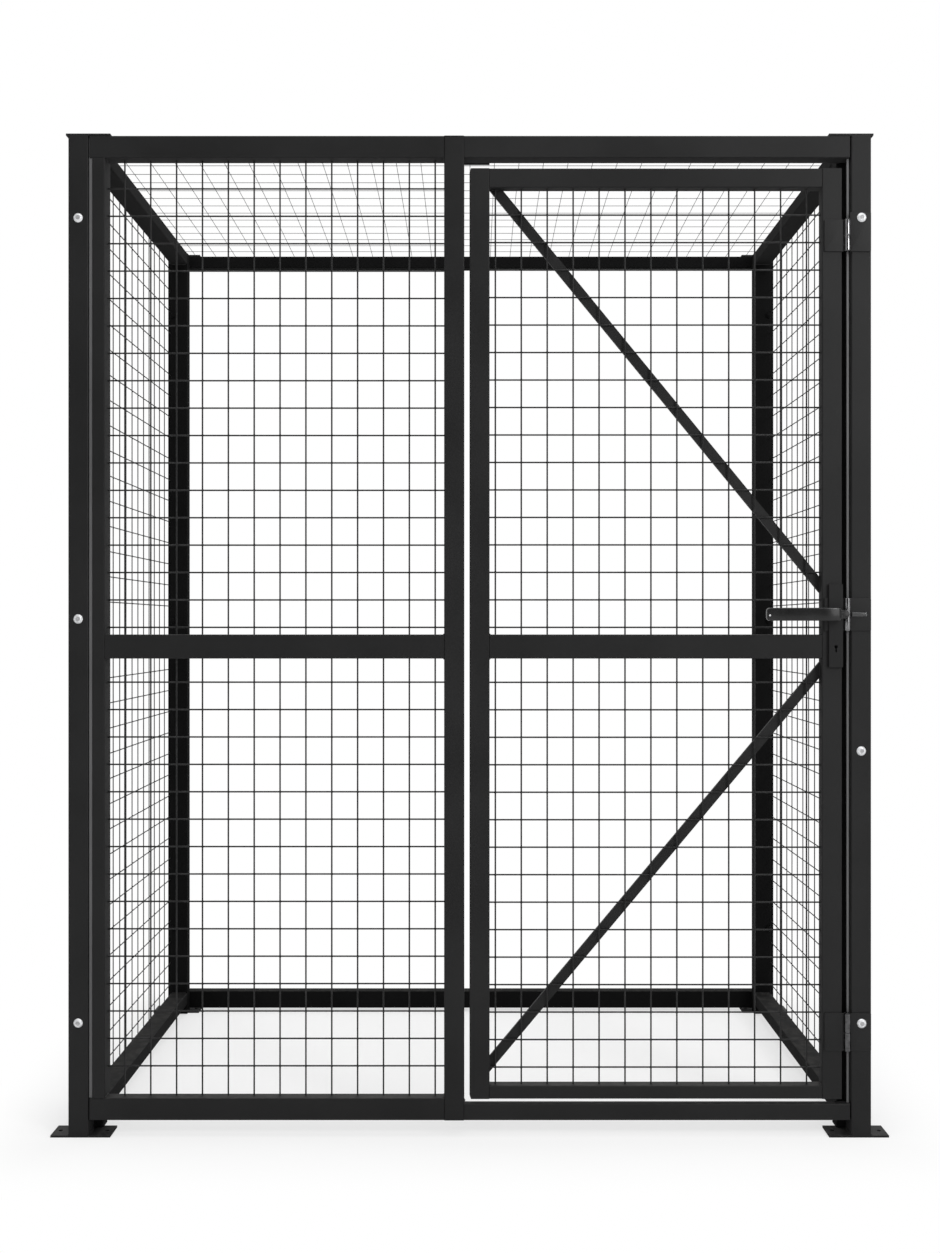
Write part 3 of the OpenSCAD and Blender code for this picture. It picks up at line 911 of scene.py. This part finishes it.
@dataclass
class MeshPanels(SubPart):
    """Sheets of round wire, welded where the wires cross.

    Attributes:
        front: Radius of the wires in the front and in the door.
        side: Radius of the wires in the sides.
        roof: Radius of the wires in the roof.
        nugget: Radius and half depth of a weld, as shares of the wire's radius.
        sides: Faces round a wire.
    """

    front: float = 1.6
    side: float = 1.2
    roof: float = 0.65
    nugget: Pair = (1.7, 1.05)
    sides: int = 12

    @staticmethod
    def wires(node: str) -> list[Box]:
        """Finds every wire of a sheet.

        Args:
            node: Name of the CAD node.

        Returns:
            The wires' boxes, in the order of their places.
        """
        shape = bmesh.new()
        shape.from_mesh(frame["nodes"][node].data)
        bmesh.ops.remove_doubles(shape, verts=shape.verts, dist=1e-6)
        seen: set[bmesh.types.BMVert] = set()
        found = []
        for vert in shape.verts:
            if vert in seen:
                continue
            seen.add(vert)
            island = [vert]
            for member in island:
                for edge in member.link_edges:
                    other = edge.other_vert(member)
                    if other not in seen:
                        seen.add(other)
                        island.append(other)
            low = Vector(min(v.co[i] for v in island) for i in range(3))
            high = Vector(max(v.co[i] for v in island) for i in range(3))
            found.append(Box(low / MM, high / MM))
        shape.free()
        return sorted(found, key=lambda wire: tuple(round(v, 2) for v in wire.middle))

    def sheet(self, node: str, radius: float, body: Body, finish: Finish) -> None:
        """Builds one sheet.

        Args:
            node: Name of the CAD node that it stands for.
            radius: Radius of its wires.
            body: Body that it rides on.
            finish: Its finish.
        """
        blank = Blank()
        runs: dict[int, list[Box]] = {}
        for wire in self.wires(node):
            size = wire.high - wire.low
            run = max(range(3), key=lambda i: size[i])
            runs.setdefault(run, []).append(wire)
            blank.rod(*wire.line(run, wire.middle), radius, sides=self.sides)
        (first, along), (second, across) = runs.items()
        thin = 3 - first - second
        for one in along:
            welds = bmesh.new()
            for other in across:
                spot = (one.middle + other.middle) / 2
                spot[first], spot[second] = other.middle[first], one.middle[second]
                size = Vector((self.nugget[0] * radius,) * 3)
                size[thin] = self.nugget[1] * radius
                place = Matrix.Translation(spot) @ Matrix.Diagonal(size).to_4x4()
                bmesh.ops.create_uvsphere(
                    welds, u_segments=8, v_segments=5, radius=1.0, matrix=place
                )
            blank.absorb(welds)
        blank.piece(f"{node}_wires", body, finish, replaces=(node,), sharp=60.0)

    def build(self) -> None:
        """Builds the seven sheets."""
        wire = self.finishes.wire
        for level in ("upper", "lower"):
            self.sheet(f"fixed_mesh_{level}", self.front, Body.CAGE, wire)
            self.sheet(f"door_mesh_{level}", self.front, Body.DOOR, wire)
        for hand in ("left", "right"):
            self.sheet(f"side_{hand}_mesh", self.side, Body.CAGE, wire)
        # The roof's wires wear the pale copy of the wire coat: painted light.
        self.sheet("roof_mesh", self.roof, Body.CAGE, self.finishes.roof_wire_painted_light)


@dataclass
class DoorLeaf(TubeWork):
    """Frame of the door with its braces, welds and plugs.

    Attributes:
        back: How far the rails' welds stop short of the stiles' backs.
        brace_ends: Where a brace's welds end, up the stile and along the rail.
        sunk: How far behind a brace's face they lie.
        notch: What the free stile's plug lacks on its left.
    """

    back: float = 10.0
    brace_ends: Pair = (26.0, 17.0)
    sunk: float = 0.5
    notch: float = 3.0

    def dress(self) -> None:
        """Gives the tubes and braces their coat."""
        parts = ("free_stile", "hinge_stile", "top_rail", "mid_rail", "bottom_rail")
        names = [f"door_{part}" for part in parts + ("brace_upper", "brace_lower")]
        dress(names, self.finishes.frame)

    def welds(self) -> None:
        """Welds the rails and braces to the stiles."""
        blank = Blank()
        free, hinge = Box.of("door_free_stile"), Box.of("door_hinge_stile")
        middle = Box.of("door_mid_rail")
        levels = (
            Box.of("door_top_rail").low.z, Box.of("door_bottom_rail").high.z,
            middle.low.z, middle.high.z,
        )
        start, end = free.low.y + self.inset, free.high.y - self.back
        for x in (free.high.x, hinge.low.x):
            for z in levels:
                blank.bead((x, start, z), (x, end, z))
        upper, lower = Box.of("door_brace_upper"), Box.of("door_brace_lower")
        up, along = self.brace_ends
        for x, brace, tip, way in (
            (hinge.low.x, upper, upper.low.z, 1),
            (hinge.low.x, lower, lower.high.z, -1),
            (free.high.x, lower, lower.low.z, 1),
        ):
            y, (low, high) = brace.low.y + self.sunk, sorted((way * self.inset, way * up))
            blank.bead((x, y, tip + low), (x, y, tip + high))
        x, y, z = upper.low.x, upper.low.y + self.sunk, upper.high.z
        blank.bead((x + self.inset, y, z), (x + along, y, z))
        blank.piece("door_welds", Body.DOOR, self.finishes.weld)

    def build(self) -> None:
        """Builds and dresses the door."""
        self.dress()
        self.welds()
        stiles = {"door_free_stile": self.notch, "door_hinge_stile": 0.0}
        self.plug_tops("door_plugs", Body.DOOR, stiles)


@dataclass
class HingeSet(SubPart):
    """Three hinges with their leaves, barrels and pins.

    Attributes:
        heights: Middle and height of each barrel, from the lowest up.
        barrel: Radius of a barrel.
        leaf: Thickness of a leaf.
        play: Gap round a knuckle.
        ear: How far the top post leaf reaches up to its bolt.
        stub: Start beside the axis of the joint of leaf and knuckle, and its lap.
        pin: Radius and half length of the pin between two knuckles.
    """

    heights: tuple[Pair, ...] = ((211, 75), (1042, 65), (1796, 63))
    barrel: float = 6.0
    leaf: float = 2.5
    play: float = 0.2
    ear: float = 15.0
    stub: Pair = (2.0, 1.5)
    pin: Pair = (3.0, 4.0)

    @property
    def axis(self) -> Vector:
        """A point on the axis."""
        return Vector(frame["joints"][0]["pos_m"]) / MM

    def leaves(self) -> None:
        """Builds the leaves of the post and of the door, with their joints to the knuckles."""
        x, face = self.axis.x, Box.of("post_front_right").low.y
        inner, slack = self.barrel + self.play, 2 * self.play
        start, lap = self.stub
        ends = {1: Box.of("hinge_post_leaves").high.x, -1: Box.of("hinge_door_leaves").low.x}
        plates = {1: Blank(), -1: Blank()}
        for z, h in self.heights:
            low, high = z - h / 2, z + h / 2
            for way, blank in plates.items():
                on_post = way > 0
                top = high + self.ear if on_post and z == self.heights[-1][0] else high
                near, far = sorted((x + way * inner, ends[way]))
                blank.block(
                    (near, face - self.leaf, low), (far, face - 0.02, top), rim=0.4, corner=2.0
                )
                bottom = low if on_post else z
                near, far = sorted((x + way * start, x + way * (inner + lap)))
                blank.block(
                    (near, face - self.leaf, bottom + slack),
                    (far, face - 0.1, bottom + h / 2 - slack), rim=0.2,
                )
        plates[1].piece("post_leaf_plates", Body.CAGE, self.finishes.frame)
        plates[-1].piece("door_leaf_plates", Body.DOOR, self.finishes.frame)

    def barrels(self) -> None:
        """Builds the knuckles and pin heads; the lowest hinge's darker steel is painted shade."""
        x, y, _ = self.axis
        steel, shaded_steel = self.finishes.barrel, self.finishes.shaded_low_barrel
        post_side, door_side, low_post, low_door, pins = (Blank() for _ in range(5))
        head = [(0, -1.0), (4.6, -1.0), (5.0, -0.6), (5.0, 0.6), (4.4, 1.4), (2.4, 2.0), (0, 2.0)]
        radius, half = self.pin
        for z, h in self.heights:
            below, above = post_side, door_side
            if z == self.heights[0][0]:
                below, above = low_post, low_door
            for knuckle, foot in ((below, z - h / 2), (above, z)):
                ends = [(x, y, foot + self.play), (x, y, foot + h / 2 - self.play)]
                knuckle.rod(*ends, self.barrel, rim=0.7)
            pins.turned(head, (x, y, z + h / 2), UP)
            pins.rod((x, y, z - half), (x, y, z + half), radius)
        post_side.piece("post_knuckles", Body.CAGE, steel, replaces=("hinge_post_leaves",))
        door_side.piece("door_knuckles", Body.DOOR, steel, replaces=("hinge_door_leaves",))
        # The lowest knuckles wear the darker steel copy: painted shade.
        low_post.piece("low_post_knuckle", Body.CAGE, shaded_steel)
        low_door.piece("low_door_knuckle", Body.DOOR, shaded_steel)
        pins.piece("hinge_pin_heads", Body.CAGE, self.finishes.dark_steel_and_shade, replaces=("hinge_pins",))

    def build(self) -> None:
        """Builds the hinges."""
        self.leaves()
        self.barrels()


@dataclass
class LockAndLever(SubPart):
    """Lock plate, lock case, spindle, lever and the keeper on the post.

    Attributes:
        lever: Length of the bar from the spindle, its height and its thickness.
        nose: Point of the bar past the spindle.
        grip: Corner radius at the end of the grip.
        rim: Radius of the bar's rims.
        neck: Half width and height of the neck.
        slope: Where the bar's face starts to fall to its nose, and how far.
        screw: How far the screw in the grip is proud of the bar, from the grip's end, and
            below the middle.
        keeper: Radius of the keeper's rod, how far it stands off its leaf, and its tip.
    """

    lever: tuple[float, float, float] = (146.0, 25.5, 12.0)
    nose: float = 5.0
    grip: float = 7.0
    rim: float = 2.2
    neck: Pair = (18.0, 17.0)
    slope: Pair = (-34.0, 5.2)
    screw: tuple[float, float, float] = (0.5, 5.6, 2.2)
    keeper: tuple[float, float, float] = (5.2, 4.0, 2.2)

    def bar(self) -> None:
        """Builds the lever's bar and its neck."""
        spindle, plate = Box.of("lever_spindle"), Box.of("lock_plate")
        box = Box.of("lever_handle")
        length, height, depth = self.lever
        half = height / 2
        x, z = spindle.middle.x, spindle.middle.z
        blank = Blank()
        shoulder = self.nose - half / 2
        corners = [(-length, -half), (shoulder, -half), (self.nose, -half / 4)]
        corners += [(r, -h) for r, h in reversed(corners)]
        part = blank.outline(corners, depth)
        backs = [e for e in part.edges if blank.runs_back(e)]
        ends = [e for e in backs if e.verts[0].co.x < 1 - length]
        blank.round_edges(part, ends, self.grip, segments=8)
        fold, fall = self.slope
        steps = 8
        for step in range(steps):
            cut = fold + (self.nose - fold) * step / steps
            planes = part.verts[:] + part.edges[:] + part.faces[:]
            bmesh.ops.bisect_plane(part, geom=planes, plane_co=(cut, 0, 0), plane_no=(1, 0, 0))
        for vert in part.verts:
            if vert.co.y < 1 and vert.co.x > fold:
                vert.co.y += fall * ((vert.co.x - fold) / (self.nose - fold)) ** 2
        blank.round_edges(part, blank.folds(part, 45.0), self.rim, segments=4)
        bmesh.ops.translate(part, vec=(x, box.low.y + self.screw[0], z), verts=part.verts)
        blank.absorb(part)
        wide, high = self.neck
        blank.block(
            (x - wide, box.low.y + depth - 1, z - high / 2),
            (x + wide, plate.low.y - 1.0, z + high / 2), rim=0.6, corner=high / 2 - 0.1,
        )
        blank.piece("lever_bar", Body.LEVER, self.finishes.handle, replaces=("lever_handle",))

    def grip_screw(self) -> None:
        """Sets the small screw near the end of the grip."""
        box, z = Box.of("lever_handle"), Box.of("lever_spindle").middle.z
        blank = Blank()
        head = [(0, -1.0), (1.9, -1.0), (1.9, 0.25), (1.6, 0.5), (0.9, 0.5), (0.7, 0.2), (0, 0.2)]
        proud, along, down = self.screw
        blank.turned(head, (box.low.x + along, box.low.y + proud, z - down), FRONT, steps=24)
        blank.piece("grip_screw", Body.LEVER, self.finishes.zinc)

    def rod_keeper(self) -> None:
        """Builds the keeper, a short rod on the middle post leaf with a bare steel tip."""
        box = Box.of("keeper")
        radius, proud, tip = self.keeper
        y, z = box.high.y - proud + radius, box.middle.z
        end = box.high.x - 0.4
        rod, cap = Blank(), Blank()
        rod.rod((box.low.x + 0.2, y, z), (end - tip, y, z), radius, rim=0.3, sides=40)
        cap.rod((end - tip + 0.1, y, z), (end, y, z), radius - 0.3, rim=1.2, sides=40)
        # The rod's enamel is the lighter copy: painted light.
        rod.piece("keeper_rod", Body.CAGE, self.finishes.keeper, replaces=("keeper",))
        cap.piece("keeper_tip", Body.CAGE, self.finishes.barrel)

    def plate(self) -> None:
        """Dresses the plate, the case and the spindle."""
        dress(["lock_plate"], self.finishes.plate)
        dress(["lever_spindle"], self.finishes.zinc)
        # The lock case is darkened so the keyhole reads dark: painted shade.
        dress(["lock_case"], self.finishes.dark_steel_and_shade)

    def build(self) -> None:
        """Builds the lock and the lever."""
        self.bar()
        self.grip_screw()
        self.rod_keeper()
        self.plate()


@dataclass(frozen=True)
class Seat:
    """Seat of one bolt.

    Attributes:
        x: Place across the cage.
        z: Height.
        head: Where the head sits along Y.
        nut: Where the nut sits along Y.
        way: Direction of the head along Y.
    """

    x: float
    z: float
    head: float
    nut: float
    way: int


@dataclass
class PostBolts(SubPart):
    """Domed bolts through the posts, with their washers and nuts.

    Attributes:
        head: Radius and height of a head.
        shank: Radius of a shank.
        dish: Radius and depth of the ring pressed into a head.
        levels: Heights of the plain posts' bolts.
        hinged: Heights of the hinged post's bolts.
        bare: The one of them with no hinge leaf under it.
        leaf: Thickness of the hinge leaves under the others.
        nut: Width across the flats and height of a nut.
    """

    head: Pair = (9.25, 5.5)
    shank: float = 4.0
    dish: Pair = (4.6, 1.3)
    levels: tuple[float, ...] = (228.0, 1033.0, 1832.0)
    hinged: tuple[float, ...] = (228.0, 770.0, 1832.0)
    bare: float = 770.0
    leaf: float = 2.5
    nut: Pair = (13.0, 6.5)

    def head_profile(self) -> Profile:
        """Profile of a head, its seat at height 0.

        Returns:
            Radius and height of each point.
        """
        radius, height = self.head
        dome = (radius * radius + height * height) / (2 * height)
        most = math.asin(radius / dome)
        arc = [most * (1 - i / 10) for i in range(11)]
        curve = [(dome * math.sin(a), height - dome * (1 - math.cos(a))) for a in arc]
        rim = [(0.0, -0.5), (radius - 0.5, -0.5), (radius - 0.15, 0.0)]
        dish, lip = self.dish
        dome_rim = [(r - 0.02, max(h, 0.25)) for r, h in curve if r > dish + 0.4]
        crest = dome_rim[-1][1]
        return rim + dome_rim + [(dish, crest), (dish - 0.4, crest - lip), (0.0, crest - lip)]

    def mark_profile(self) -> Profile:
        """Profile of the ring and the boss in the dish of a head.

        Returns:
            Radius and height of each point.
        """
        base, edge = self.head_profile()[-1][1], self.dish[0] - 0.5
        ring = [(0.0, base - 0.3), (edge, base - 0.3), (edge, base + 0.4), (edge - 0.3, base + 0.7)]
        ring += [(edge - 1.1, base + 0.7), (edge - 1.3, base + 0.1), (1.5, base + 0.1)]
        return ring + [(1.3, base + 0.8), (0.0, base + 0.8)]

    def bolt(self, blank: Blank, marks: Blank, seat: Seat) -> None:
        """Adds one bolt.

        Args:
            blank: Workpiece of the bolts.
            marks: Workpiece of the marks in their heads.
            seat: Its seat.
        """
        place, way = (seat.x, seat.head, seat.z), (0, seat.way, 0)
        blank.turned(self.head_profile(), place, way)
        marks.turned(self.mark_profile(), place, way, steps=24)
        blank.rod(place, (seat.x, seat.nut, seat.z), self.shank, rim=0.5, sides=24)

    def nut_on(self, blank: Blank, seat: Seat) -> None:
        """Adds one nut with its chamfered rims and the end of its bolt.

        Args:
            blank: Workpiece of the nuts.
            seat: Its seat.
        """
        across, height = self.nut
        outer = across / 2 / math.cos(math.pi / 6)
        ends = [(seat.x, seat.nut - seat.way * out, seat.z) for out in (0.02, height, height + 2)]
        blank.rod(ends[0], ends[1], outer, rim=0.9, sides=6)
        blank.rod(ends[0], ends[2], self.shank, rim=0.7, sides=24)

    def build(self) -> None:
        """Builds the bolts and the nuts; the rear nuts wear the rear coat's painted shade."""
        bolts, nuts = Box.of("post_bolts"), Box.of("post_nuts")
        left, right = bolts.low.x + self.head[0], bolts.high.x - self.head[0]
        front, rear = Box.of("post_front_left").low.y, Box.of("post_rear_left").high.y
        seats = []
        for z in self.levels:
            seats.append(Seat(left, z, front, nuts.low.y, -1))
            seats += [Seat(x, z, rear, nuts.high.y, 1) for x in (left, right)]
        for z in self.hinged:
            under = 0.0 if z == self.bare else self.leaf
            seats.append(Seat(right, z, front - under, nuts.low.y, -1))
        bright, marks, front_nuts, rear_nuts = (Blank() for _ in range(4))
        for seat in seats:
            self.bolt(bright, marks, seat)
            self.nut_on(front_nuts if seat.way < 0 else rear_nuts, seat)
        bright.piece("bolt_heads", Body.CAGE, self.finishes.zinc, replaces=("post_bolts",))
        # The marks wear the darker zinc: painted shade in the dish.
        marks.piece("bolt_marks", Body.CAGE, self.finishes.mark)
        front_nuts.piece("front_nuts", Body.CAGE, self.finishes.zinc, replaces=("post_nuts",))
        # The rear nuts' coat is the darker rear copy: painted shade.
        rear_nuts.piece("rear_nuts", Body.CAGE, self.finishes.rear)


# ---- studio


@dataclass
class Studio:
    """Floor, world, lamps and camera.

    Attributes:
        front: Front plane of the object, in metres.
        eye: Place of the camera, its Y from the front plane.
        lens: Its focal length, in millimetres.
        shift: Its shift across.
        floor_size: Half the width of the floor.
        footing: Half the width and depth that the floor is shaded under.
        shaded: Whiteness of the floor there.
    """

    front: float
    eye: Point = (0.0086, -2.45, 1.018)
    lens: float = 35.34
    shift: float = -0.0032
    floor_size: float = 30.0
    footing: Pair = (0.80, 0.42)
    shaded: float = 0.60

    def floor(self) -> None:
        """Lays a pale floor that fades to white away from the object."""
        made = bmesh.new()
        bmesh.ops.create_grid(made, x_segments=4, y_segments=4, size=self.floor_size)
        bmesh.ops.translate(made, vec=(0, 0, -0.0004), verts=made.verts)
        mesh = bpy.data.meshes.new("floor")
        made.to_mesh(mesh)
        made.free()
        mesh.materials.append(self.floor_material())
        floor = join_scene("floor", mesh)

    def floor_material(self) -> bpy.types.Material:
        """Makes the floor's material, matt under the object and white to the eye round it.

        Returns:
            The material.
        """
        material = bpy.data.materials.new("Floor_Pale")
        material.use_nodes = True
        bench = ShaderBench(material.node_tree)
        x, y, _ = bench.split(bench.place())
        beside = ((x * x).root() - self.footing[0]).low_cut(0.0)
        before = ((y * y).root() - self.footing[1]).low_cut(0.0)
        reach = (beside * beside + before * before).root()
        glow = self.shaded + (1 - self.shaded) * reach.ease(-0.03, 0.24)
        tone = bench.blend(bench.noise(7.0, 4.0), grey(0.8, 1.0), grey(0.83, 1.0))
        matt = bench.add("ShaderNodeBsdfDiffuse", {"Color": tone, "Roughness": 1.0})
        white = bench.add("ShaderNodeEmission", {"Color": (1, 1, 1, 1), "Strength": 1.0})
        path = bench.add("ShaderNodeLightPath", output="Is Camera Ray")
        mixed = bench.add("ShaderNodeMixShader", {0: glow * path, 1: matt, 2: white})
        bench.add("ShaderNodeOutputMaterial", {"Surface": mixed})
        return material

    def world(self) -> None:
        """Lights the object from all round; the background is white."""
        world = bpy.data.worlds.new("Studio")
        world.use_nodes = True
        bpy.context.scene.world = world
        bench = ShaderBench(world.node_tree)
        path = bench.add("ShaderNodeLightPath", output="Is Camera Ray")
        outputs = path.socket.node.outputs
        glossy = Wire(bench, outputs["Is Glossy Ray"])
        clear = Wire(bench, outputs["Is Transmission Ray"])
        direction = bench.add("ShaderNodeTexCoord", output="Generated")
        x, y, z = bench.split(direction)
        # Each patch of light is a range of directions.
        back = y.ease(-0.35, 0.35)
        right = x.ease(0.955, 0.98) * y.band(-0.26, -0.20, 0.08, 0.14)
        near = x.band(0.42, 0.50, 0.68, 0.76) * (0 - y).ease(0.5, 0.6)
        near = near * (1 - (z * z).ease(0.03, 0.09))
        left = (0 - x).band(0.60, 0.66, 0.84, 0.88) * (0 - y).ease(0.3, 0.4)
        above = z.ease(0.35, 0.85)
        room = 0.07 + 0.62 * back + 1.4 * right + 2.6 * near + 0.9 * left + 0.6 * above
        seen = 1 - (1 - path) * (1 - clear)
        level = seen + (1 - seen) * (glossy * room + (1 - glossy) * 0.84)
        shade = bench.add("ShaderNodeBackground", {"Color": (1, 1, 1, 1), "Strength": level})
        bench.add("ShaderNodeOutputWorld", {"Surface": shade})

    def lamp(self, name: str, place: Point, target: Point, size: float, watts: float) -> None:
        """Hangs one soft lamp.

        Args:
            name: Name of the lamp.
            place: Where it hangs.
            target: What it faces.
            size: Side of its face.
            watts: Its power.
        """
        light = bpy.data.lights.new(name, "AREA")
        light.shape = "SQUARE"
        light.size = size
        light.energy = watts
        lamp = join_scene(name, light)
        lamp.location = place
        lamp.rotation_euler = (Vector(target) - Vector(place)).to_track_quat("-Z", "Y").to_euler()

    def camera(self) -> None:
        """Sets the camera where the photograph was taken."""
        data = bpy.data.cameras.new("Camera")
        data.lens = self.lens
        data.sensor_width = 36.0
        data.shift_x = self.shift
        camera = join_scene("Camera", data)
        camera.location = (self.eye[0], self.front + self.eye[1], self.eye[2])
        camera.rotation_euler = (math.pi / 2, 0, 0)
        bpy.context.scene.camera = camera

    def build(self) -> None:
        """Sets up the studio."""
        bpy.context.scene.view_settings.view_transform = "Standard"
        self.floor()
        self.world()
        self.lamp("Lamp_Top", (0.4, -0.3, 4.2), (0, 0.1, 0.6), size=3.0, watts=50.0)
        self.lamp("Lamp_Right", (2.6, -2.9, 2.6), (0.7, -0.3, 1.0), size=1.0, watts=38.0)
        self.camera()


def main() -> None:
    """Builds the partition and its studio, piece by piece."""
    logging.basicConfig(level=logging.INFO, format="%(name)s: %(message)s")
    finishes = Finishes()
    Studio(front=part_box("post_front_left")[0].y).build()
    CageFrame(finishes).build()
    MeshPanels(finishes).build()
    DoorLeaf(finishes).build()
    HingeSet(finishes).build()
    LockAndLever(finishes).build()
    PostBolts(finishes).build()


if __name__ == "__main__":
    main()
